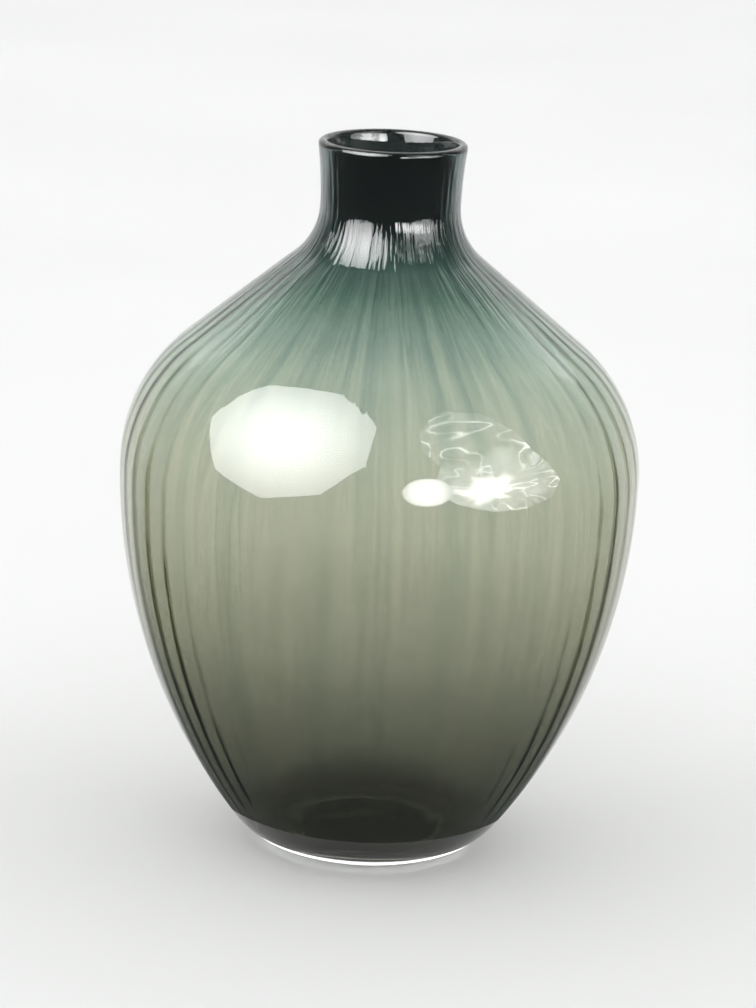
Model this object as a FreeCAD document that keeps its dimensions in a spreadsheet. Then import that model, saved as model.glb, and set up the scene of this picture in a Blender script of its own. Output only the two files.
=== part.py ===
import FreeCAD, Part
import math
import os
import Sketcher

# A mould-blown balloon vase in cased glass.  Its wall is two fused layers, each a solid of
# revolution about Z: a clear outer casing and a smoke-coloured core inside it.  The frame's
# origin is the centre of the ring that the vase rests on, and +Z runs up the axis.
# All lengths are in millimetres.

DIMENSIONS = [
    ("vase_height", 370.0, "resting ring to the top of the lip"),
    ("belly_radius", 133.0, "outside, where the vase is widest"),
    ("belly_height", 201.0, "height of the widest point"),
    ("lower_arc_radius", 303.0, "outline from the foot to the belly"),
    ("shoulder_arc_radius", 84.5, "outline above the belly"),
    ("shoulder_slope", 50.5, "lean of the straight shoulder from the vertical, in degrees"),
    ("waist_radius", 35.5, "outside, where the neck is narrowest"),
    ("waist_height", 337.5, "height of the neck's waist"),
    ("flare_radius", 206.0, "outline from the waist to the lip"),
    ("foot_corner_radius", 42.0, "outline between the lower arc and the resting ring"),
    ("ring_inner_radius", 28.0, "inside of the resting ring"),
    ("punt_height", 3.0, "rise of the hollow under the foot"),
    ("casing_thickness", 3.6, "clear layer"),
    ("core_thickness", 1.4, "smoke layer"),
    ("casing_floor", 9.0, "height of the clear layer's floor"),
    ("core_floor", 11.5, "height of the smoke layer's floor, which is the inside of the vase"),
    ("casing_floor_corner", 36.0, "corner radius of the clear layer's floor"),
    ("core_floor_corner", 34.0, "corner radius of the smoke layer's floor"),
]

doc = FreeCAD.newDocument("balloon_vase")


def make_sheet():
    """The driving dimensions, one row each: name, value and meaning."""
    sheet = doc.addObject("Spreadsheet::Sheet", "dims")
    for row, (alias, value, meaning) in enumerate(DIMENSIONS, start=1):
        sheet.set("A%d" % row, alias)
        sheet.set("B%d" % row, str(value))
        sheet.set("C%d" % row, meaning)
        sheet.setAlias("B%d" % row, alias)
    doc.recompute()
    return sheet


dims = make_sheet()


def polar(centre, radius, angle):
    """The point at an angle, in radians, on a circle in the section plane."""
    return (centre[0] + radius * math.cos(angle), centre[1] + radius * math.sin(angle))


class Outline:
    """One boundary of the wall in the section plane (radius, height), from floor to lip.

    offset is how far it lies inside the vase's outer surface.  The arcs of every outline
    share their centres, so the layers have an even thickness above the floor.
    """

    def __init__(self, offset, floor, floor_corner):
        slope = math.radians(dims.shoulder_slope)
        belly = dims.belly_radius
        self.lower_radius = dims.lower_arc_radius - offset
        self.lower_centre = (belly - dims.lower_arc_radius, dims.belly_height)
        self.shoulder_radius = dims.shoulder_arc_radius - offset
        self.shoulder_centre = (belly - dims.shoulder_arc_radius, dims.belly_height)
        self.neck_radius = neck_arc_radius() + offset
        self.neck_centre = (dims.waist_radius + neck_arc_radius(), dims.waist_height)
        self.flare_radius = dims.flare_radius + offset
        self.flare_centre = (dims.waist_radius + dims.flare_radius, dims.waist_height)
        corner_reach = self.lower_radius - floor_corner
        corner_height = floor + floor_corner
        corner_drop = dims.belly_height - corner_height
        corner_x = self.lower_centre[0] + math.sqrt(corner_reach ** 2 - corner_drop ** 2)
        self.corner_centre = (corner_x, corner_height)
        corner_angle = -math.asin(corner_drop / corner_reach)
        flare_angle = lip_angle()
        self.floor_edge = (corner_x, floor)
        self.corner_top = polar(self.corner_centre, floor_corner, corner_angle)
        self.belly = (belly - offset, dims.belly_height)
        self.slope_foot = polar(self.shoulder_centre, self.shoulder_radius, slope)
        self.slope_top = polar(self.neck_centre, self.neck_radius, math.pi + slope)
        self.waist = (dims.waist_radius - offset, dims.waist_height)
        self.lip = polar(self.flare_centre, self.flare_radius, math.pi - flare_angle)


def neck_arc_radius():
    """Radius of the hollow between the shoulder's slope and the waist, on the outside."""
    slope = math.radians(dims.shoulder_slope)
    foot_x = dims.belly_radius - dims.shoulder_arc_radius * (1 - math.cos(slope))
    foot_z = dims.belly_height + dims.shoulder_arc_radius * math.sin(slope)
    rise = dims.waist_height - foot_z
    run = foot_x - dims.waist_radius
    steepness = math.tan(slope)
    return (run - steepness * rise) / (1 - math.cos(slope) - steepness * math.sin(slope))


def wall_thickness():
    return dims.casing_thickness + dims.core_thickness


def lip_angle():
    """How far round the flare arc the lip's half-round begins, so that its top is at full height."""
    half_wall = wall_thickness() / 2
    rise = dims.vase_height - dims.waist_height - half_wall
    return math.asin(rise / (dims.flare_radius + half_wall))


class Section:
    """A closed section drawn edge by edge in a sketch, then held by constraints.

    An edge is a tuple: the geometry's number, and the numbers of the points where it starts
    and ends as the outline is followed.
    """

    CENTRE = 3
    ORIGIN = (-1, 1)

    def __init__(self, sketch):
        self.sketch = sketch

    def line(self, start, end):
        segment = Part.LineSegment(vector(start), vector(end))
        return (self.sketch.addGeometry(segment, False), 1, 2)

    def arc(self, centre, start, end):
        """The arc of less than half a turn from start to end about centre."""
        radius = math.hypot(start[0] - centre[0], start[1] - centre[1])
        first = math.atan2(start[1] - centre[1], start[0] - centre[0])
        last = math.atan2(end[1] - centre[1], end[0] - centre[0])
        sweep = (last - first + math.pi) % (2 * math.pi) - math.pi
        circle = Part.Circle(vector(centre), FreeCAD.Vector(0, 0, 1), radius)
        if sweep > 0:
            return (self.sketch.addGeometry(Part.ArcOfCircle(circle, first, first + sweep), False), 1, 2)
        return (self.sketch.addGeometry(Part.ArcOfCircle(circle, first + sweep, first), False), 2, 1)

    def hold(self, kind, *references):
        self.sketch.addConstraint(Sketcher.Constraint(kind, *references))

    def join(self, first, second, smooth=False):
        """Join two edges' points, each given as (geometry, point)."""
        self.hold("Tangent" if smooth else "Coincident", *first, *second)

    def share_centre(self, first, second):
        self.hold("Coincident", first[0], self.CENTRE, second[0], self.CENTRE)

    def size(self, name, kind, point, expression):
        """Bind a radius, an angle or a point's distance from the origin to the sheet."""
        geometry = point[0]
        if kind == "Radius":
            constraint = Sketcher.Constraint(kind, geometry, self.sketch.Geometry[geometry].Radius)
        elif kind == "Angle":
            direction = self.sketch.getPoint(geometry, 2) - self.sketch.getPoint(geometry, 1)
            constraint = Sketcher.Constraint(kind, geometry, math.atan2(direction.y, direction.x))
        else:
            place = self.sketch.getPoint(*point)
            distance = place.x if kind == "DistanceX" else place.y
            constraint = Sketcher.Constraint(kind, *self.ORIGIN, *point, distance)
        self.sketch.renameConstraint(self.sketch.addConstraint(constraint), name)
        self.sketch.setExpression("Constraints." + name, expression)


def vector(point):
    return FreeCAD.Vector(point[0], point[1], 0)


def start_of(edge):
    return (edge[0], edge[1])


def end_of(edge):
    return (edge[0], edge[2])


def centre_of(edge):
    return (edge[0], Section.CENTRE)


def draw_outline(section, outline):
    """The six edges of an outline by name, each smooth with the next, from the floor to the lip."""
    edges = {
        "corner": section.arc(outline.corner_centre, outline.floor_edge, outline.corner_top),
        "lower": section.arc(outline.lower_centre, outline.corner_top, outline.belly),
        "shoulder": section.arc(outline.shoulder_centre, outline.belly, outline.slope_foot),
        "slope": section.line(outline.slope_foot, outline.slope_top),
        "neck": section.arc(outline.neck_centre, outline.slope_top, outline.waist),
        "flare": section.arc(outline.flare_centre, outline.waist, outline.lip),
    }
    upwards = list(edges.values())
    for below, above in zip(upwards, upwards[1:]):
        section.join(end_of(below), start_of(above), smooth=True)
    return edges


def size_outer_face(section, edges, offset):
    """Size a layer's outer face, which lies offset inside the vase's outside.

    offset is an expression, because the casing's outer face has none and the core's has one.
    """
    belly = end_of(edges["lower"])
    waist = end_of(edges["neck"])
    section.size("lower_radius", "Radius", belly, "dims.lower_arc_radius - " + offset)
    section.size("shoulder_radius", "Radius", start_of(edges["shoulder"]),
                 "dims.shoulder_arc_radius - " + offset)
    section.size("flare_radius", "Radius", start_of(edges["flare"]), "dims.flare_radius + " + offset)
    section.size("belly_radius", "DistanceX", belly, "dims.belly_radius - " + offset)
    section.size("belly_height", "DistanceY", belly, "dims.belly_height")
    section.size("belly_centre", "DistanceY", centre_of(edges["lower"]), "dims.belly_height")
    section.size("slope_angle", "Angle", start_of(edges["slope"]), "90 deg + dims.shoulder_slope * 1 deg")
    section.size("waist_radius", "DistanceX", waist, "dims.waist_radius - " + offset)
    section.size("waist_height", "DistanceY", waist, "dims.waist_height")
    section.size("waist_centre", "DistanceY", centre_of(edges["neck"]), "dims.waist_height")


def size_inner_face(section, edges, outer_edges, offset):
    """Size a layer's inner face: its arcs share the outer face's centres above the foot."""
    for name in ("lower", "shoulder", "neck", "flare"):
        section.share_centre(edges[name], outer_edges[name])
    section.size("inner_belly_radius", "DistanceX", end_of(edges["lower"]), "dims.belly_radius - " + offset)
    section.size("inner_waist_radius", "DistanceX", end_of(edges["neck"]), "dims.waist_radius - " + offset)


def draw_floor(section, edges, height, name):
    """The flat floor of an outline, from the axis to its corner."""
    corner = edges["corner"]
    edge_point = section.sketch.getPoint(*start_of(corner))
    floor = section.line((0.0, edge_point.y), (edge_point.x, edge_point.y))
    section.hold("Horizontal", floor[0])
    section.join(end_of(floor), start_of(corner), smooth=True)
    section.size(name, "DistanceY", start_of(floor), height)
    return floor


def draw_axis(section, low, high):
    """The edge on the axis between two edges' starts."""
    low_point = section.sketch.getPoint(*low)
    high_point = section.sketch.getPoint(*high)
    axis = section.line((0.0, low_point.y), (0.0, high_point.y))
    for end, point in ((start_of(axis), low), (end_of(axis), high)):
        section.hold("PointOnObject", *end, -2)
        section.join(end, point)


def draw_lip(section, outer_edges, inner_edges, outer, inner, outermost):
    """Half-round lip, shared by the two layers: each has the part on its own side.

    The layers meet on a short straight edge that carries their boundary on into the lip.
    """
    half_wall = wall_thickness() / 2
    angle = lip_angle()
    lip_centre = polar(outer.flare_centre, dims.flare_radius + half_wall, math.pi - angle)
    boundary_foot = inner.lip if outermost else outer.lip
    reach = math.sqrt(half_wall ** 2 - (dims.casing_thickness - half_wall) ** 2)
    split = (boundary_foot[0] + reach * math.sin(angle), boundary_foot[1] + reach * math.cos(angle))
    round_foot = outer.lip if outermost else inner.lip
    round_edge = section.arc(lip_centre, round_foot, split)
    boundary = section.line(boundary_foot, split)
    round_face = outer_edges if outermost else inner_edges
    boundary_face = inner_edges if outermost else outer_edges
    section.join(end_of(round_face["flare"]), start_of(round_edge), smooth=True)
    section.join(end_of(boundary_face["flare"]), start_of(boundary), smooth=True)
    section.join(end_of(round_edge), end_of(boundary))
    section.size("lip_radius", "Radius", start_of(round_edge),
                 "(dims.casing_thickness + dims.core_thickness) / 2")
    section.size("lip_centre", "DistanceY", centre_of(round_edge),
                 "dims.vase_height - (dims.casing_thickness + dims.core_thickness) / 2")
    across = section.line(outer.lip, inner.lip)
    section.sketch.toggleConstruction(across[0])
    section.join(start_of(across), end_of(outer_edges["flare"]))
    section.join(end_of(across), end_of(inner_edges["flare"]))
    section.hold("PointOnObject", *centre_of(round_edge), across[0])


def draw_punt(section, foot_corner, ring_edge_x):
    """The underside: a shallow hollow, and the flat ring that the vase rests on."""
    rise = dims.punt_height
    reach = dims.ring_inner_radius
    radius = (reach ** 2 + rise ** 2) / (2 * rise)
    hollow = section.arc((0.0, rise - radius), (0.0, rise), (reach, 0.0))
    ring = section.line((reach, 0.0), (ring_edge_x, 0.0))
    section.hold("PointOnObject", *centre_of(hollow), -2)
    section.hold("Horizontal", ring[0])
    section.join(end_of(hollow), start_of(ring))
    section.join(end_of(ring), start_of(foot_corner), smooth=True)
    section.size("punt_height", "DistanceY", start_of(hollow), "dims.punt_height")
    section.size("ring_inner_radius", "DistanceX", start_of(ring), "dims.ring_inner_radius")
    section.size("ring_height", "DistanceY", start_of(ring), "0")
    return hollow


def new_body(name):
    """A body and an empty sketch on its XZ plane."""
    body = doc.addObject("PartDesign::Body", name)
    body.Label = name
    sketch = body.newObject("Sketcher::SketchObject", name + "_section")
    plane = next(item for item in body.Origin.OriginFeatures if item.Role == "XZ_Plane")
    sketch.AttachmentSupport = (plane, [""])
    sketch.MapMode = "FlatFace"
    doc.recompute()
    return body, sketch


def revolve(body, sketch):
    """Turn the section a full turn about the axis."""
    revolution = body.newObject("PartDesign::Revolution", body.Name + "_revolution")
    revolution.Profile = sketch
    revolution.ReferenceAxis = (sketch, ["V_Axis"])
    revolution.Angle = 360.0
    sketch.Visibility = False
    doc.recompute()


def make_clear_casing():
    """The outer layer of clear glass, with the thick foot."""
    body, sketch = new_body("clear_casing")
    section = Section(sketch)
    outer = Outline(0.0, 0.0, dims.foot_corner_radius)
    inner = Outline(dims.casing_thickness, dims.casing_floor, dims.casing_floor_corner)
    outer_edges = draw_outline(section, outer)
    inner_edges = draw_outline(section, inner)
    hollow = draw_punt(section, outer_edges["corner"], outer.floor_edge[0])
    floor = draw_floor(section, inner_edges, "dims.casing_floor", "floor_height")
    draw_axis(section, start_of(hollow), start_of(floor))
    size_outer_face(section, outer_edges, "0")
    size_inner_face(section, inner_edges, outer_edges, "dims.casing_thickness")
    section.size("foot_corner", "Radius", start_of(outer_edges["corner"]), "dims.foot_corner_radius")
    section.size("floor_corner", "Radius", start_of(inner_edges["corner"]), "dims.casing_floor_corner")
    draw_lip(section, outer_edges, inner_edges, outer, inner, outermost=True)
    revolve(body, sketch)
    return body


def make_smoke_core():
    """The inner layer of smoke glass, fused to the casing all over."""
    body, sketch = new_body("smoke_core")
    section = Section(sketch)
    outer = Outline(dims.casing_thickness, dims.casing_floor, dims.casing_floor_corner)
    inner = Outline(wall_thickness(), dims.core_floor, dims.core_floor_corner)
    outer_edges = draw_outline(section, outer)
    inner_edges = draw_outline(section, inner)
    underside = draw_floor(section, outer_edges, "dims.casing_floor", "underside_height")
    floor = draw_floor(section, inner_edges, "dims.core_floor", "floor_height")
    draw_axis(section, start_of(underside), start_of(floor))
    size_outer_face(section, outer_edges, "dims.casing_thickness")
    size_inner_face(section, inner_edges, outer_edges, "(dims.casing_thickness + dims.core_thickness)")
    section.size("underside_corner", "Radius", start_of(outer_edges["corner"]), "dims.casing_floor_corner")
    section.size("floor_corner", "Radius", start_of(inner_edges["corner"]), "dims.core_floor_corner")
    draw_lip(section, outer_edges, inner_edges, outer, inner, outermost=False)
    revolve(body, sketch)
    return body


def check_document(bodies):
    """Stop before anything is written if an object failed or a section isn't fully sized."""
    for item in doc.Objects:
        if "Invalid" in item.State or "Error" in item.State:
            raise RuntimeError("%s failed: %s" % (item.Name, item.State))
        if item.TypeId == "Sketcher::SketchObject" and not item.FullyConstrained:
            raise RuntimeError("%s is not fully constrained" % item.Name)
    for body in bodies:
        if body.Shape.isNull() or not body.Shape.isValid():
            raise RuntimeError("%s has no valid shape" % body.Label)


bodies = [make_clear_casing(), make_smoke_core()]
doc.recompute()
check_document(bodies)
os.makedirs("parts", exist_ok=True)
for body in bodies:
    body.Shape.exportStep("parts/%s.step" % body.Label)
    print("%s: %.1f cubic cm" % (body.Label, body.Shape.Volume / 1000))
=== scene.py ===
import math
import random

import bpy
from mathutils import Matrix, Vector


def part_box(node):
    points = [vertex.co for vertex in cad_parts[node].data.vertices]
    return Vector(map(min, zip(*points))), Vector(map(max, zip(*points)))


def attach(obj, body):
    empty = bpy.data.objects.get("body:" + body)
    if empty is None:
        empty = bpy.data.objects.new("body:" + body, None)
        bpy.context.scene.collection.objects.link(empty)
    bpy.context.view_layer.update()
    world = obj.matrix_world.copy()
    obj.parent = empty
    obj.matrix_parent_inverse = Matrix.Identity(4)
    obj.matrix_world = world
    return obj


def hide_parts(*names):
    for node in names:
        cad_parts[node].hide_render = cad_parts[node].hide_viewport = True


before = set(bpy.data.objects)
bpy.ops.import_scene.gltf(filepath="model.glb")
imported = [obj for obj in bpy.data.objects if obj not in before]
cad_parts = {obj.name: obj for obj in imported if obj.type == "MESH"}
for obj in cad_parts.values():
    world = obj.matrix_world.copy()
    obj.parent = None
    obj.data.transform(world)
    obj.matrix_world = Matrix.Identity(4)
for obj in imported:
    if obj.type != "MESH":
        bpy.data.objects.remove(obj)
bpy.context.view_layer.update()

# The looks of a mould-blown balloon vase in cased glass: a clear casing over a smoke-coloured
# lining, whose inside carries soft vertical ribs.  Everything is in metres, in the CAD's frame:
# the origin is the centre of the resting ring and +Z runs up the axis.

CASING_LOW, CASING_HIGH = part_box("clear_casing")

# The outside of the vase, as arcs that flow into each other.
VASE_HEIGHT = CASING_HIGH.z
BELLY_RADIUS = (CASING_HIGH.x - CASING_LOW.x) / 2
BELLY_HEIGHT = 0.201
LOWER_ARC_RADIUS = 0.303
SHOULDER_ARC_RADIUS = 0.0845
SHOULDER_SLOPE = math.radians(50.5)
WAIST_RADIUS = 0.0355
WAIST_HEIGHT = 0.3375
FLARE_RADIUS = 0.206
FOOT_CORNER_RADIUS = 0.042
RING_INNER_RADIUS = 0.028
PUNT_HEIGHT = 0.003

# The two layers of the wall.
CASING_THICKNESS = 0.0036
CORE_THICKNESS = 0.0014
WALL_THICKNESS = CASING_THICKNESS + CORE_THICKNESS
CASING_FLOOR = 0.009
CORE_FLOOR = 0.0115
CASING_FLOOR_CORNER = 0.036
CORE_FLOOR_CORNER = 0.034
FUSED_GAP = 0.00005

# Ribs pressed into the inside by the optic mould, before the vase was blown out.
RIB_COUNT = 50
RIB_SEED = 5
RIB_SLOPE = 0.10
RIB_UNEVENNESS = 0.25
RIB_PRINT_THROUGH = (0.03, 0.45)
RIB_FOOT_FADE = (0.012, 0.050)
RIB_LIP_FADE = (0.368, 0.350)
RIB_TWIST = math.radians(2.0)
RIB_SWAY = math.radians(0.7)
PRINT_THROUGH_RADII = (0.11, 0.05)
RIB_ATTRIBUTE = "rib"
FLOW_ATTRIBUTE = "flow"

# Unevenness.  Each wave has its turns around the vase, its radians per metre up it, and its start.
WAVE_DEPTH = 0.00005
WAVES = ((3, 31, 0.0), (5, -47, 1.3))
CRINKLE_DEPTH = 0.00006
CRINKLES = ((17, 190, 0.0), (29, -260, 1.0), (41, 120, 2.0))

# The band of the foot's outside that is whitened and frosted as a painted highlight, standing in for the
# bright arc of light at the foot's edge.
RIM_HIGHLIGHT_HEIGHT = (0.0010, 0.0045)

# Where the layers are fused, light isn't bent.
GLASS_IOR = 1.5
FUSED_IOR = 1.0

# Mesh fineness.
ROW_SPACING = 0.005
ARC_STEP = math.radians(3.0)
LIP_STEP = math.radians(12.0)
SHARP_EDGE = math.radians(35)
OUTSIDE_COLUMNS = 6 * RIB_COUNT
RIBBED_COLUMNS = 8 * RIB_COUNT

OUTSIDE, FUSED, INSIDE, RIM_HIGHLIGHT = range(4)


# ---------------------------------------------------------------- outlines

def polar(centre, radius, angle):
    return (centre[0] + radius * math.cos(angle), centre[1] + radius * math.sin(angle))


def arc_points(centre, radius, start, end, step=ARC_STEP):
    """Points from one angle to the other, both included."""
    by_length = ROW_SPACING / radius
    count = max(2, math.ceil(abs(end - start) / min(step, by_length)))
    return [polar(centre, radius, start + (end - start) * i / count) for i in range(count + 1)]


def line_points(start, end):
    length = math.hypot(end[0] - start[0], end[1] - start[1])
    count = max(1, math.ceil(length / ROW_SPACING))
    return [(start[0] + (end[0] - start[0]) * i / count,
             start[1] + (end[1] - start[1]) * i / count) for i in range(count + 1)]


def chain(*spans):
    """Spans of points joined end to end, each shared end kept once."""
    joined = list(spans[0])
    for span in spans[1:]:
        joined.extend(span[1:])
    return joined


def neck_arc_radius():
    """Radius of the hollow between the shoulder's slope and the waist, on the outside."""
    foot_r = BELLY_RADIUS - SHOULDER_ARC_RADIUS * (1 - math.cos(SHOULDER_SLOPE))
    foot_z = BELLY_HEIGHT + SHOULDER_ARC_RADIUS * math.sin(SHOULDER_SLOPE)
    steepness = math.tan(SHOULDER_SLOPE)
    run = foot_r - WAIST_RADIUS
    rise = WAIST_HEIGHT - foot_z
    return (run - steepness * rise) / (1 - math.cos(SHOULDER_SLOPE) - steepness * math.sin(SHOULDER_SLOPE))


def lip_angle():
    """How far round the flare arc the lip's half-round begins."""
    rise = VASE_HEIGHT - WAIST_HEIGHT - WALL_THICKNESS / 2
    return math.asin(rise / (FLARE_RADIUS + WALL_THICKNESS / 2))


def flare_centre():
    return (WAIST_RADIUS + FLARE_RADIUS, WAIST_HEIGHT)


def outline(offset, floor, floor_corner):
    """A boundary of the wall as (radius, height) points, from its floor's edge to the lip.

    It lies offset inside the vase's outside, and its arcs share the outside's centres.
    """
    lower_centre = (BELLY_RADIUS - LOWER_ARC_RADIUS, BELLY_HEIGHT)
    lower_radius = LOWER_ARC_RADIUS - offset
    corner_reach = lower_radius - floor_corner
    corner_drop = BELLY_HEIGHT - floor - floor_corner
    corner_angle = -math.asin(corner_drop / corner_reach)
    corner_centre = (lower_centre[0] + corner_reach * math.cos(corner_angle), floor + floor_corner)
    shoulder_centre = (BELLY_RADIUS - SHOULDER_ARC_RADIUS, BELLY_HEIGHT)
    shoulder_radius = SHOULDER_ARC_RADIUS - offset
    neck_centre = (WAIST_RADIUS + neck_arc_radius(), WAIST_HEIGHT)
    neck_radius = neck_arc_radius() + offset
    shoulder = arc_points(shoulder_centre, shoulder_radius, 0.0, SHOULDER_SLOPE)
    neck = arc_points(neck_centre, neck_radius, math.pi + SHOULDER_SLOPE, math.pi)
    return chain(
        arc_points(corner_centre, floor_corner, -math.pi / 2, corner_angle),
        arc_points(lower_centre, lower_radius, corner_angle, 0.0),
        shoulder,
        line_points(shoulder[-1], neck[0]),
        neck,
        arc_points(flare_centre(), FLARE_RADIUS + offset, math.pi, math.pi - lip_angle()),
    )


def lip_points(outermost):
    """The lip's half-round on one layer's side, from that layer's own face to the split."""
    half_wall = WALL_THICKNESS / 2
    centre = polar(flare_centre(), FLARE_RADIUS + half_wall, math.pi - lip_angle())
    split = math.acos((half_wall - CASING_THICKNESS) / half_wall) - lip_angle()
    start = -lip_angle() if outermost else math.pi - lip_angle()
    return arc_points(centre, half_wall, start, split, LIP_STEP)


def underside():
    """The punt's shallow hollow and the resting ring, from the axis outwards."""
    radius = (RING_INNER_RADIUS ** 2 + PUNT_HEIGHT ** 2) / (2 * PUNT_HEIGHT)
    centre = (0.0, PUNT_HEIGHT - radius)
    ring_edge = math.asin(RING_INNER_RADIUS / radius)
    return arc_points(centre, radius, math.pi / 2, math.pi / 2 - ring_edge)


def floor_points(height, edge_radius):
    return line_points((0.0, height), (edge_radius, height))


def circle_angles(columns):
    """The angles of evenly spaced points round a circle."""
    return [2 * math.pi * column / columns for column in range(columns)]


# ---------------------------------------------------------------- blown surfaces

def smooth_step(value, low, high):
    share = min(1.0, max(0.0, (value - low) / (high - low)))
    return share * share * (3 - 2 * share)


def rib_heights():
    """Each rib's depth as a share of the usual one: the mould's ribs come out a little unequal."""
    dice = random.Random(RIB_SEED)
    return [1 + RIB_UNEVENNESS * dice.uniform(-1, 1) for _ in range(RIB_COUNT)]


RIBS = rib_heights()


def along_ribs(height, angle):
    """A point's angle with the ribs' slight twist and sway taken out, the same all along one rib."""
    sway = RIB_SWAY * math.sin(2 * math.pi * height / VASE_HEIGHT + 3 * angle)
    return angle + RIB_TWIST * height / VASE_HEIGHT + sway


def rib_share(height, angle):
    """Where a point is across its rib: about 1 on the crest and -1 in the groove."""
    place = (along_ribs(height, angle) / (2 * math.pi) * RIB_COUNT) % RIB_COUNT
    first = int(place) % RIB_COUNT
    share = place - int(place)
    depth = RIBS[first] * (1 - share) + RIBS[(first + 1) % RIB_COUNT] * share
    fade = smooth_step(height, *RIB_FOOT_FADE) * smooth_step(height, *RIB_LIP_FADE)
    return depth * fade * math.cos(2 * math.pi * place)


def unevenness(waves, height, angle):
    """The mean of a few waves over the surface."""
    return sum(math.sin(around * angle + up * height + start) for around, up, start in waves) / len(waves)


def blown(face, radius, height, angle):
    """A point's radius once the ribs and the glass's own unevenness are added.

    The outside has the slow waves of hand-blown glass, and the inside the quicker crinkles of glass
    that chilled against the mould.  The ribs print through to the outside, most of all where the
    glass was stretched least.
    """
    if radius < RING_INNER_RADIUS or face == FUSED:
        return radius
    fade = smooth_step(height, *RIB_FOOT_FADE) * smooth_step(height, *RIB_LIP_FADE)
    rib = RIB_SLOPE * radius / RIB_COUNT * rib_share(height, angle)
    if face == INSIDE:
        return radius - rib + CRINKLE_DEPTH * unevenness(CRINKLES, height, angle) * fade
    stretched, unstretched = RIB_PRINT_THROUGH
    narrowness = smooth_step(radius, *PRINT_THROUGH_RADII) * smooth_step(height, BELLY_HEIGHT, WAIST_HEIGHT)
    print_through = stretched + (unstretched - stretched) * narrowness
    return radius - print_through * rib + WAVE_DEPTH * unevenness(WAVES, height, angle) * fade


def turn(name, spans, columns):
    """A closed piece turned about the axis.

    spans is a list of (face, points), joined end to end from the axis round to the axis.
    """
    rows = []
    for face, points in spans:
        rows.extend((face, point) for point in (points if not rows else points[1:]))
    angles = circle_angles(columns)
    low, high = rows[0][1], rows[-1][1]
    vertices = [(0.0, 0.0, low[1])]
    ribs = [0.0]
    flow = [0.0, 0.0, low[1] / VASE_HEIGHT]
    for face, (radius, height) in rows[1:-1]:
        for angle in angles:
            pushed = blown(face, radius, height, angle)
            vertices.append((pushed * math.cos(angle), pushed * math.sin(angle), height))
            ribs.append(rib_share(height, angle) if radius > RING_INNER_RADIUS else 0.0)
            turned = along_ribs(height, angle)
            flow.extend((math.cos(turned), math.sin(turned), height / VASE_HEIGHT))
    vertices.append((0.0, 0.0, high[1]))
    ribs.append(0.0)
    flow.extend((0.0, 0.0, high[1] / VASE_HEIGHT))
    last_ring = len(rows) - 3
    faces = []
    tags = []
    for column in range(columns):
        after = (column + 1) % columns
        faces.append((0, 1 + after, 1 + column))
        tags.append(rows[1][0])
        for ring in range(last_ring):
            below = 1 + ring * columns
            above = below + columns
            faces.append((below + column, below + after, above + after, above + column))
            tags.append(rows[ring + 2][0])
        top = 1 + last_ring * columns
        faces.append((top + column, top + after, len(vertices) - 1))
        tags.append(rows[-1][0])
    mesh = bpy.data.meshes.new(name)
    mesh.from_pydata(vertices, [], faces)
    mesh.polygons.foreach_set("use_smooth", [True] * len(faces))
    mesh.set_sharp_from_angle(angle=SHARP_EDGE)
    mesh.attributes.new(RIB_ATTRIBUTE, "FLOAT", "POINT").data.foreach_set("value", ribs)
    mesh.attributes.new(FLOW_ATTRIBUTE, "FLOAT_VECTOR", "POINT").data.foreach_set("vector", flow)
    piece = bpy.data.objects.new(name, mesh)
    bpy.context.scene.collection.objects.link(piece)
    return piece, tags


def paint(piece, tags, materials):
    """Give each face the material of the span that it belongs to."""
    slots = list(materials)
    for face in slots:
        piece.data.materials.append(materials[face])
    piece.data.polygons.foreach_set("material_index", [slots.index(tag) for tag in tags])
    piece.data.update()


# ---------------------------------------------------------------- materials

def new_material(name):
    material = bpy.data.materials.new(name)
    material.use_nodes = True
    tree = material.node_tree
    return material, tree, tree.nodes["Principled BSDF"]


def set_glass(shader, ior):
    """Make a shader smooth and clear all through."""
    shader.inputs["Transmission Weight"].default_value = 1.0
    shader.inputs["IOR"].default_value = ior
    shader.inputs["Roughness"].default_value = 0.0


def add_node(tree, kind, **settings):
    node = tree.nodes.new(kind)
    for name, value in settings.items():
        setattr(node, name, value)
    return node


def stretched_noise(tree, stretch, scale, detail=2.0):
    """Noise in the vase's own coordinates, stretched along the given axes."""
    coordinates = add_node(tree, "ShaderNodeTexCoord")
    mapping = add_node(tree, "ShaderNodeMapping")
    mapping.inputs["Scale"].default_value = stretch
    noise = add_node(tree, "ShaderNodeTexNoise")
    noise.inputs["Scale"].default_value = scale
    noise.inputs["Detail"].default_value = detail
    tree.links.new(coordinates.outputs["Object"], mapping.inputs["Vector"])
    tree.links.new(mapping.outputs["Vector"], noise.inputs["Vector"])
    return noise.outputs["Fac"]


def flow_noise(tree, around, along, detail=2.0):
    """Noise that runs with the ribs: around and along are how many times it changes each way."""
    attribute = add_node(tree, "ShaderNodeAttribute", attribute_name=FLOW_ATTRIBUTE)
    mapping = add_node(tree, "ShaderNodeMapping")
    mapping.inputs["Scale"].default_value = (around / (2 * math.pi), around / (2 * math.pi), along)
    noise = add_node(tree, "ShaderNodeTexNoise")
    noise.inputs["Scale"].default_value = 1.0
    noise.inputs["Detail"].default_value = detail
    tree.links.new(attribute.outputs["Vector"], mapping.inputs["Vector"])
    tree.links.new(mapping.outputs["Vector"], noise.inputs["Vector"])
    return noise.outputs["Fac"]


def map_range(tree, value, low, high, to_low, to_high):
    node = add_node(tree, "ShaderNodeMapRange")
    tree.links.new(value, node.inputs["Value"])
    for name, number in (("From Min", low), ("From Max", high), ("To Min", to_low), ("To Max", to_high)):
        node.inputs[name].default_value = number
    return node.outputs["Result"]


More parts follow.
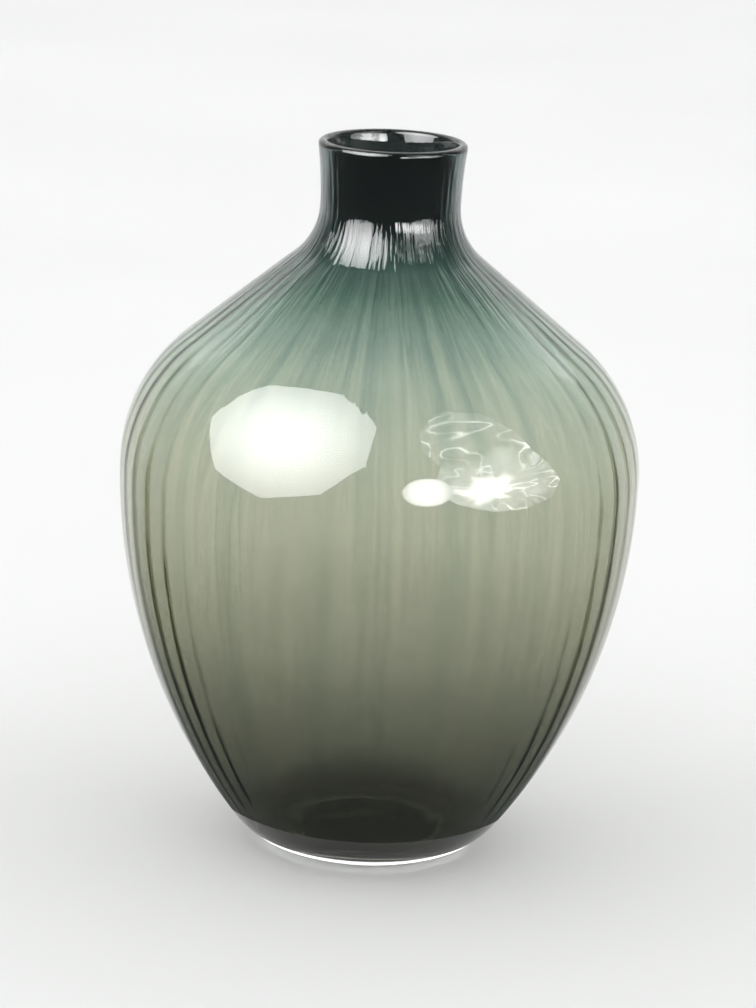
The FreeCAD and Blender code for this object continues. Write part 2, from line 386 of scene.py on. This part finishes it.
def ramp(tree, value, stops):
    """A colour that runs through the given (position, colour) stops."""
    node = add_node(tree, "ShaderNodeValToRGB")
    tree.links.new(value, node.inputs["Fac"])
    elements = node.color_ramp.elements
    while len(elements) < len(stops):
        elements.new(0.5)
    for element, (position, colour) in zip(elements, stops):
        element.position = position
        element.color = (*colour, 1.0)
    return node.outputs["Color"]


def grey_ramp(tree, value, *stops):
    """A ramp of plain greys, from (position, level) stops."""
    return ramp(tree, value, [(position, (level, level, level)) for position, level in stops])


def calculate(tree, operation, *values):
    """One step of arithmetic, on numbers or sockets."""
    node = add_node(tree, "ShaderNodeMath", operation=operation)
    for socket, value in zip(node.inputs, values):
        if isinstance(value, float):
            socket.default_value = value
        else:
            tree.links.new(value, socket)
    return node.outputs["Value"]


def object_axes(tree):
    """A point's X, Y and Z in its object's own coordinates."""
    coordinates = add_node(tree, "ShaderNodeTexCoord")
    separate = add_node(tree, "ShaderNodeSeparateXYZ")
    tree.links.new(coordinates.outputs["Object"], separate.inputs["Vector"])
    return separate.outputs


def height_in_vase(tree):
    """0 at the resting ring, 1 at the top of the lip."""
    return map_range(tree, object_axes(tree)["Z"], 0.0, VASE_HEIGHT, 0.0, 1.0)


def multiply(tree, first, second, share):
    """first times second, where share, a number or a socket, is how much of second counts."""
    mix = add_node(tree, "ShaderNodeMix", data_type="RGBA", blend_type="MULTIPLY")
    if isinstance(share, float):
        mix.inputs["Factor"].default_value = share
    else:
        tree.links.new(share, mix.inputs["Factor"])
    tree.links.new(first, mix.inputs[6])
    tree.links.new(second, mix.inputs[7])
    return mix.outputs[2]


def add_bump(tree, height, strength, under=None):
    """A bump up to a millimetre high, on top of another one if it is given."""
    bump = add_node(tree, "ShaderNodeBump")
    bump.inputs["Strength"].default_value = strength
    bump.inputs["Distance"].default_value = 0.001
    tree.links.new(height, bump.inputs["Height"])
    if under is not None:
        tree.links.new(under, bump.inputs["Normal"])
    return bump.outputs["Normal"]


def polish(tree, shader, ripple, dragged=0.0):
    """Fine smears in the gloss, the faint ripple of fire-polished glass, and drag lines.

    The drag lines follow the ribs where the glass was pulled in to the neck.
    """
    smears = stretched_noise(tree, (1.0, 1.0, 0.4), 55.0, 4.0)
    tree.links.new(map_range(tree, smears, 0.45, 0.75, 0.0, 0.035), shader.inputs["Roughness"])
    normal = add_bump(tree, stretched_noise(tree, (1.0, 1.0, 0.35), 30.0), ripple)
    if dragged:
        lines = flow_noise(tree, 95.0, 12.0)
        where = grey_ramp(tree, height_in_vase(tree), (0.66, 0.03), (0.72, 0.22), (0.80, 0.85),
                          (0.86, 1.0), (0.89, 0.7), (0.94, 0.08))
        normal = add_bump(tree, calculate(tree, "MULTIPLY", lines, where), dragged, normal)
    tree.links.new(normal, shader.inputs["Normal"])


def clear_glass():
    """Faintly streaked clear glass, darker at the foot."""
    material, tree, shader = new_material("clear_glass")
    set_glass(shader, GLASS_IOR)
    streaks = flow_noise(tree, 70.0, 2.0)
    streak = ramp(tree, streaks, [(0.3, (0.93, 0.96, 0.945)), (0.7, (0.985, 0.99, 0.985))])
    foot = ramp(tree, height_in_vase(tree), [(0.026, (0.23, 0.23, 0.21)), (0.050, (1.0, 1.0, 1.0))])
    tree.links.new(multiply(tree, streak, foot, 1.0), shader.inputs["Base Color"])
    polish(tree, shader, ripple=0.04, dragged=0.8)
    return material


def rim_highlight_glass():
    """The foot's outer edge, whitened and frosted as a painted highlight of the bright arc of light along it.
    """
    material, tree, shader = new_material("rim_highlight_glass")
    set_glass(shader, GLASS_IOR)
    shader.inputs["Transmission Weight"].default_value = 0.35
    highlight_mottle = stretched_noise(tree, (1.0, 1.0, 3.0), 160.0, 3.0)
    # Painted highlight: near-white mottled colour that makes the band read as the lit arc at the foot's edge.
    colour = ramp(tree, highlight_mottle, [(0.35, (0.70, 0.71, 0.70)), (0.6, (0.97, 0.97, 0.96))])
    tree.links.new(colour, shader.inputs["Base Color"])
    tree.links.new(map_range(tree, highlight_mottle, 0.3, 0.7, 0.35, 0.55), shader.inputs["Roughness"])
    return material


def rib_depth(tree):
    """0 in the groove between two ribs, 1 on a crest, where the coloured glass is thickest."""
    attribute = add_node(tree, "ShaderNodeAttribute", attribute_name=RIB_ATTRIBUTE)
    return map_range(tree, attribute.outputs["Fac"], -1.0, 1.0, 0.0, 1.0)


def smoke_glass():
    """The lining's inner face: almost black at the neck, deeper at the foot, and streaked with the ribs."""
    material, tree, shader = new_material("smoke_glass")
    set_glass(shader, GLASS_IOR)
    height = height_in_vase(tree)
    body = ramp(tree, height, [
        (0.00, (0.364, 0.366, 0.317)),
        (0.12, (0.50, 0.49, 0.413)),
        (0.36, (1.0, 1.0, 1.0)),
        (0.72, (1.0, 1.0, 1.0)),
        (0.81, (0.85, 0.91, 0.91)),
        (0.865, (0.19, 0.26, 0.24)),
        (0.893, (0.010, 0.013, 0.012)),
        (1.00, (0.004, 0.005, 0.0045)),
    ])
    crest = ramp(tree, rib_depth(tree), [(0.0, (1.0, 1.0, 1.0)), (1.0, (0.62, 0.74, 0.76))])
    crest_share = grey_ramp(tree, height, (0.3, 0.1), (0.6, 0.2), (0.75, 0.7))
    ribbed = multiply(tree, body, crest, crest_share)
    streaks = flow_noise(tree, 110.0, 2.5, 3.0)
    streak = ramp(tree, streaks, [(0.35, (0.50, 0.62, 0.66)), (0.6, (1.0, 1.0, 1.0))])
    streak_share = grey_ramp(tree, height, (0.3, 0.2), (0.55, 0.25), (0.75, 0.8))
    tree.links.new(multiply(tree, ribbed, streak, streak_share), shader.inputs["Base Color"])
    polish(tree, shader, ripple=0.05)
    return material


def fused_boundary():
    """The faces where the layers are fused: no air, so light runs straight on.

    They carry the tint of the belly and shoulder, palest where the glass was blown out furthest.
    """
    material, tree, shader = new_material("fused_boundary")
    set_glass(shader, FUSED_IOR)
    body = ramp(tree, height_in_vase(tree), [
        (0.00, (0.30, 0.30, 0.27)),
        (0.12, (0.42, 0.42, 0.38)),
        (0.36, (0.663, 0.654, 0.554)),
        (0.60, (0.810, 0.81, 0.720)),
        (0.72, (0.700, 0.765, 0.685)),
        (0.77, (0.53, 0.61, 0.55)),
        (0.81, (0.28, 0.38, 0.335)),
        (0.865, (0.29, 0.36, 0.35)),
        (0.90, (0.42, 0.46, 0.46)),
    ])
    streaks = flow_noise(tree, 60.0, 1.5)
    shade = ramp(tree, streaks, [(0.3, (0.90, 0.93, 0.93)), (0.7, (1.0, 1.0, 1.0))])
    tree.links.new(multiply(tree, body, shade, 1.0), shader.inputs["Base Color"])
    return material


def pale_floor():
    """Matt and even, with a hardly visible mottle."""
    material, tree, shader = new_material("pale_floor")
    shade = stretched_noise(tree, (1.0, 1.0, 1.0), 1.5)
    colour = ramp(tree, shade, [(0.3, (0.80, 0.805, 0.80)), (0.7, (0.83, 0.835, 0.83))])
    tree.links.new(colour, shader.inputs["Base Color"])
    shader.inputs["Roughness"].default_value = 0.75
    shader.inputs["Specular IOR Level"].default_value = 0.15
    return material


# ---------------------------------------------------------------- the vase

def foot_row(points, height):
    """The first point of an outline that lies above the given height."""
    return next(index for index, point in enumerate(points) if point[1] > height)


def make_casing(materials):
    """The clear layer: its outside, the foot's underside and the face fused to the lining."""
    outside = outline(0.0, 0.0, FOOT_CORNER_RADIUS)
    fused = outline(CASING_THICKNESS - FUSED_GAP, CASING_FLOOR - FUSED_GAP, CASING_FLOOR_CORNER)
    hollow = underside()
    lip = lip_points(outermost=True)
    edge_start, edge_end = (foot_row(outside, height) for height in RIM_HIGHLIGHT_HEIGHT)
    spans = [
        (OUTSIDE, hollow),
        (OUTSIDE, line_points(hollow[-1], outside[0])),
        (OUTSIDE, outside[:edge_start + 1]),
        # The band at the foot's edge takes the painted highlight: whitened, frosted glass.
        (RIM_HIGHLIGHT, outside[edge_start:edge_end + 1]),
        (OUTSIDE, outside[edge_end:]),
        (OUTSIDE, lip),
        (FUSED, line_points(lip[-1], fused[-1])),
        (FUSED, fused[::-1]),
        (FUSED, floor_points(CASING_FLOOR - FUSED_GAP, fused[0][0])[::-1]),
    ]
    piece, tags = turn("glass_casing", spans, OUTSIDE_COLUMNS)
    paint(piece, tags, {OUTSIDE: materials["clear"], FUSED: materials["fused"], RIM_HIGHLIGHT: materials["rim_highlight"]})
    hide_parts("clear_casing")
    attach(piece, "root")


def make_lining(materials):
    """The smoke-coloured layer: the face fused to the casing, and the ribbed inside."""
    fused = outline(CASING_THICKNESS + FUSED_GAP, CASING_FLOOR + FUSED_GAP, CASING_FLOOR_CORNER)
    inside = outline(WALL_THICKNESS, CORE_FLOOR, CORE_FLOOR_CORNER)
    lip = lip_points(outermost=False)
    spans = [
        (FUSED, floor_points(CASING_FLOOR + FUSED_GAP, fused[0][0])),
        (FUSED, fused),
        (FUSED, line_points(fused[-1], lip[-1])),
        (INSIDE, lip[::-1]),
        (INSIDE, inside[::-1]),
        (INSIDE, floor_points(CORE_FLOOR, inside[0][0])[::-1]),
    ]
    piece, tags = turn("smoke_lining", spans, RIBBED_COLUMNS)
    paint(piece, tags, {FUSED: materials["fused"], INSIDE: materials["smoke"]})
    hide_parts("smoke_core")
    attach(piece, "root")


# ---------------------------------------------------------------- the studio

COVE_RADIUS = 5.0
COVE_BEND = 1.5
COVE_HEIGHT = 3.0
COVE_BEND_STEPS = 16
STUDIO_COLUMNS = 96

# The unlit front of the studio: a dome with its back open, on a sheet just above the floor.  It
# reaches the spread to each side of the front, and lightens from the softer angle on.
DIM_RADIUS = 3.5
DIM_FLOOR_RADII = (0.075, 0.4)
DIM_CLEARANCE = 0.003
DIM_COLUMNS = 50
DIM_ROWS = 12
DIM_SPREAD = math.radians(135)
DIM_SOFT_FROM = math.radians(98)

# The lit ring under the foot's rounded edge.
FOOT_LIGHT_RADII = (0.0375, 0.0560)
FOOT_LIGHT_CLEARANCE = 0.0003

UMBRELLA_RINGS = 5
UMBRELLA_BULGE = 0.2

CAMERA_PLACE = (0.0053, -1.888, 0.688)
CAMERA_TARGET = Vector((0.0, 0.0, 0.181))
CAMERA_ROLL = math.radians(2.44)
CAMERA_LENS = 135.7


def stage_mesh(name, vertices, faces, material):
    """A piece of the studio, which isn't part of the vase."""
    mesh = bpy.data.meshes.new(name)
    mesh.from_pydata(vertices, [], faces)
    mesh.materials.append(material)
    piece = bpy.data.objects.new(name, mesh)
    bpy.context.scene.collection.objects.link(piece)
    return piece


def round_faces(rings, columns, first=0):
    """The four-sided faces between rings of points, counted from the first point's index."""
    faces = []
    for ring in range(rings - 1):
        low = first + ring * columns
        high = low + columns
        for column in range(columns):
            after = (column + 1) % columns
            faces.append((low + column, high + column, high + after, low + after))
    return faces


def centre_faces(columns):
    """Triangles from point 0 to the ring of points that follows it."""
    return [(0, 1 + column, 1 + (column + 1) % columns) for column in range(columns)]


def make_cove(material):
    """A round pale floor that curves up into a wall, so that it looks the same from every side."""
    bend_angles = [math.pi / 2 * step / COVE_BEND_STEPS for step in range(COVE_BEND_STEPS + 1)]
    bend = [(COVE_RADIUS + COVE_BEND * math.sin(angle), COVE_BEND * (1 - math.cos(angle)))
            for angle in bend_angles]
    rows = [(COVE_RADIUS * share, 0.0) for share in (0.1, 0.3, 0.6, 0.85)] + bend
    rows.append((COVE_RADIUS + COVE_BEND, COVE_HEIGHT))
    vertices = [(0.0, 0.0, 0.0)]
    for radius, height in rows:
        vertices.extend((radius * math.cos(angle), radius * math.sin(angle), height)
                        for angle in circle_angles(STUDIO_COLUMNS))
    faces = centre_faces(STUDIO_COLUMNS) + round_faces(len(rows), STUDIO_COLUMNS, first=1)
    cove = stage_mesh("studio_cove", vertices, faces, material)
    cove.data.polygons.foreach_set("use_smooth", [True] * len(faces))


def make_world():
    """Even light all round, with a darker patch straight above."""
    world = bpy.data.worlds.new("studio")
    world.use_nodes = True
    bpy.context.scene.world = world
    tree = world.node_tree
    background = tree.nodes["Background"]
    coordinates = add_node(tree, "ShaderNodeTexCoord")
    separate = add_node(tree, "ShaderNodeSeparateXYZ")
    tree.links.new(coordinates.outputs["Generated"], separate.inputs["Vector"])
    sky = ramp(tree, separate.outputs["Z"], [
        (0.0, (1.0, 0.995, 0.985)),
        (0.75, (0.95, 0.95, 0.95)),
        (0.9, (0.35, 0.36, 0.36)),
        (1.0, (0.2, 0.2, 0.2)),
    ])
    tree.links.new(sky, background.inputs["Color"])
    background.inputs["Strength"].default_value = 1.72


def glowing(name, radiance):
    """A material that only gives light, with its node tree and the socket that takes its colour."""
    material = bpy.data.materials.new(name)
    material.use_nodes = True
    tree = material.node_tree
    tree.nodes.clear()
    emission = add_node(tree, "ShaderNodeEmission")
    emission.inputs["Strength"].default_value = radiance
    output = add_node(tree, "ShaderNodeOutputMaterial")
    tree.links.new(emission.outputs["Emission"], output.inputs["Surface"])
    return material, tree, emission.inputs["Color"]


def vector_length(tree, vector):
    node = add_node(tree, "ShaderNodeVectorMath", operation="LENGTH")
    tree.links.new(vector, node.inputs[0])
    return node.outputs["Value"]


def umbrella_glow(name, radius, radiance):
    """Light that is hottest in the middle of the umbrella and falls off towards its edge."""
    material, tree, colour = glowing(name, radiance)
    coordinates = add_node(tree, "ShaderNodeTexCoord")
    from_middle = vector_length(tree, coordinates.outputs["Object"])
    glow = ramp(tree, map_range(tree, from_middle, 0.0, radius, 0.0, 1.0), [
        (0.0, (1.0, 1.0, 1.0)),
        (0.45, (0.72, 0.72, 0.72)),
        (0.85, (0.43, 0.43, 0.435)),
        (1.0, (0.35, 0.35, 0.355)),
    ])
    tree.links.new(glow, colour)
    return material


def foil_glow(name, half_size, radiance):
    """Light thrown back by crumpled foil: thin creases that fan out from one bright crumple."""
    material, tree, colour = glowing(name, radiance)
    coordinates = add_node(tree, "ShaderNodeTexCoord")
    around_crumple = add_node(tree, "ShaderNodeMapping", vector_type="TEXTURE")
    around_crumple.inputs["Location"].default_value = (-0.40 * half_size, -0.82 * half_size, 0.0)
    around_crumple.inputs["Scale"].default_value = (0.60 * half_size, 0.36 * half_size, 1.0)
    tree.links.new(coordinates.outputs["Object"], around_crumple.inputs["Vector"])
    separate = add_node(tree, "ShaderNodeSeparateXYZ")
    tree.links.new(around_crumple.outputs["Vector"], separate.inputs["Vector"])
    direction = calculate(tree, "ARCTAN2", separate.outputs["X"], separate.outputs["Y"])
    reach = vector_length(tree, around_crumple.outputs["Vector"])
    fanned = add_node(tree, "ShaderNodeCombineXYZ")
    tree.links.new(direction, fanned.inputs["X"])
    tree.links.new(map_range(tree, reach, 0.0, 5.0, 0.0, 1.6), fanned.inputs["Y"])
    creases = add_node(tree, "ShaderNodeTexNoise")
    creases.inputs["Scale"].default_value = 2.4
    creases.inputs["Detail"].default_value = 1.0
    creases.inputs["Distortion"].default_value = 0.4
    tree.links.new(fanned.outputs["Vector"], creases.inputs["Vector"])
    crease = grey_ramp(tree, creases.outputs["Fac"], (0.34, 0.12), (0.42, 0.05), (0.49, 0.10),
                       (0.515, 0.85), (0.535, 0.14), (0.60, 0.06), (0.68, 0.40))
    catching = stretched_noise(tree, (1.0, 1.0, 1.0), 2.5 / half_size)
    shine = grey_ramp(tree, catching, (0.40, 0.15), (0.60, 1.0))
    ragged_reach = calculate(tree, "MULTIPLY_ADD", creases.outputs["Fac"], 1.6, reach)
    from_crumple = map_range(tree, ragged_reach, 0.8, 3.0, 0.0, 1.0)
    crumple = grey_ramp(tree, from_crumple, (0.28, 1.0), (0.42, 0.35), (0.75, 0.20), (1.0, 0.05))
    total = add_node(tree, "ShaderNodeMix", data_type="RGBA", blend_type="ADD")
    total.inputs["Factor"].default_value = 1.0
    tree.links.new(multiply(tree, crease, shine, 1.0), total.inputs[6])
    tree.links.new(crumple, total.inputs[7])
    tree.links.new(total.outputs[2], colour)
    return material


def dim_glow(name, radiance):
    """Dim straight ahead and up to full brightness at the sides."""
    material, tree, colour = glowing(name, radiance)
    axes = object_axes(tree)
    azimuth = calculate(tree, "ARCTAN2", axes["X"], calculate(tree, "MULTIPLY", axes["Y"], -1.0))
    from_front = calculate(tree, "ABSOLUTE", azimuth)
    share = map_range(tree, from_front, DIM_SOFT_FROM, DIM_SPREAD, 0.0, 1.0)
    glow = ramp(tree, share, [(0.0, (0.09, 0.10, 0.095)), (0.5, (0.20, 0.21, 0.20)), (1.0, (1.0, 1.0, 1.0))])
    tree.links.new(glow, colour)
    return material


def only_reflected(prop):
    """Let a studio prop show only in what the glass reflects, so that the floor's light stays even."""
    prop.visible_camera = False
    prop.visible_diffuse = False
    prop.visible_transmission = False
    prop.visible_shadow = False


def hang(prop, azimuth, elevation, distance):
    """Hang a lamp or reflector so that it faces the belly.  Azimuth 0 is in front, 90 to the right."""
    sideways = math.radians(azimuth)
    raised = math.radians(elevation)
    reach = distance * math.cos(raised)
    prop.location = (reach * math.sin(sideways), -reach * math.cos(sideways),
                     BELLY_HEIGHT + distance * math.sin(raised))
    towards = Vector((0.0, 0.0, BELLY_HEIGHT)) - prop.location
    prop.rotation_euler = towards.to_track_quat("-Z", "Y").to_euler()
    only_reflected(prop)


def make_umbrella(name, sides, radius, radiance, flatness=1.0):
    """A lighting umbrella with the given number of ribs.  Its height is flatness times its width."""
    vertices = [(0.0, 0.0, 0.0)]
    for ring in range(1, UMBRELLA_RINGS + 1):
        share = ring / UMBRELLA_RINGS
        reach = radius * share
        vertices.extend((reach * math.cos(angle), flatness * reach * math.sin(angle),
                         -UMBRELLA_BULGE * radius * share ** 2) for angle in circle_angles(sides))
    faces = centre_faces(sides) + round_faces(UMBRELLA_RINGS, sides, first=1)
    return stage_mesh(name, vertices, faces, umbrella_glow(name + "_glow", radius, radiance))


def make_foil_reflector(name, half_size, radiance):
    """A fan-shaped sheet of crumpled foil.  Its corners are shares of its half size."""
    corners = [(-0.75, 0.80), (-0.15, 1.0), (0.25, 0.65), (0.60, -0.30), (1.05, -0.95), (0.85, -1.30),
               (0.30, -1.45), (-0.35, -1.40), (-0.95, -1.10), (-1.30, -0.60), (-0.90, -0.10), (-1.0, 0.30)]
    vertices = [(0.0, 0.0, 0.0)] + [(half_size * x, half_size * y, 0.0) for x, y in corners]
    material = foil_glow(name + "_glow", half_size, radiance)
    return stage_mesh(name, vertices, centre_faces(len(corners)), material)


def make_foot_light():
    """A lit ring under the foot, which shows only as a reflection in the foot's rounded edge."""
    vertices = [(radius * math.cos(angle), radius * math.sin(angle), FOOT_LIGHT_CLEARANCE)
                for radius in FOOT_LIGHT_RADII for angle in circle_angles(STUDIO_COLUMNS)]
    faces = round_faces(len(FOOT_LIGHT_RADII), STUDIO_COLUMNS)
    material, _, _ = glowing("foot_light_glow", 4.0)
    only_reflected(stage_mesh("foot_light", vertices, faces, material))


def make_dim_side():
    """The unlit front of the studio, whose reflection keeps the neck dark."""
    rows = [(radius, DIM_CLEARANCE) for radius in DIM_FLOOR_RADII]
    rows += [polar((0.0, DIM_CLEARANCE), DIM_RADIUS, math.pi / 2 * row / DIM_ROWS) for row in range(DIM_ROWS)]
    vertices = []
    for radius, height in rows:
        for column in range(DIM_COLUMNS + 1):
            angle = DIM_SPREAD * (2 * column / DIM_COLUMNS - 1)
            vertices.append((radius * math.sin(angle), -radius * math.cos(angle), height))
    faces = []
    for row in range(len(rows) - 1):
        low = row * (DIM_COLUMNS + 1)
        high = low + DIM_COLUMNS + 1
        faces.extend((low + column, low + column + 1, high + column + 1, high + column)
                     for column in range(DIM_COLUMNS))
    only_reflected(stage_mesh("dim_side", vertices, faces, dim_glow("dim_side_glow", 1.1)))


def make_camera():
    """1.9 m off and half a metre above the belly, turned to the vase and rolled a little."""
    camera = bpy.data.objects.new("camera", bpy.data.cameras.new("camera"))
    camera.data.lens = CAMERA_LENS
    camera.data.sensor_width = 36.0
    camera.data.clip_end = 60.0
    camera.location = CAMERA_PLACE
    aim = (CAMERA_TARGET - camera.location).to_track_quat("-Z", "Y").to_matrix()
    camera.rotation_euler = (aim @ Matrix.Rotation(CAMERA_ROLL, 3, "Z")).to_euler()
    bpy.context.scene.collection.objects.link(camera)
    bpy.context.scene.camera = camera


def set_light_paths():
    """Glass in glass needs many bounces before a path is cut off."""
    cycles = bpy.context.scene.cycles
    cycles.max_bounces = 40
    cycles.transmission_bounces = 40
    cycles.glossy_bounces = 24
    cycles.diffuse_bounces = 4
    bpy.context.scene.view_settings.view_transform = "Standard"


set_light_paths()
make_camera()
make_world()
make_cove(pale_floor())
make_dim_side()
make_foot_light()
left_umbrella = make_umbrella("left_umbrella", sides=8, radius=1.04, radiance=20.0)
hang(left_umbrella, azimuth=-49.4, elevation=37.1, distance=1.615)
small_lamp = make_umbrella("small_lamp", sides=32, radius=0.22, radiance=26.0, flatness=0.80)
hang(small_lamp, azimuth=20.7, elevation=13, distance=1.23)
foil_reflector = make_foil_reflector("foil_reflector", half_size=0.85, radiance=16.0)
hang(foil_reflector, azimuth=57.7, elevation=35, distance=1.608)
materials = {
    "clear": clear_glass(),
    "smoke": smoke_glass(),
    "fused": fused_boundary(),
    "rim_highlight": rim_highlight_glass(),
}
make_casing(materials)
make_lining(materials)
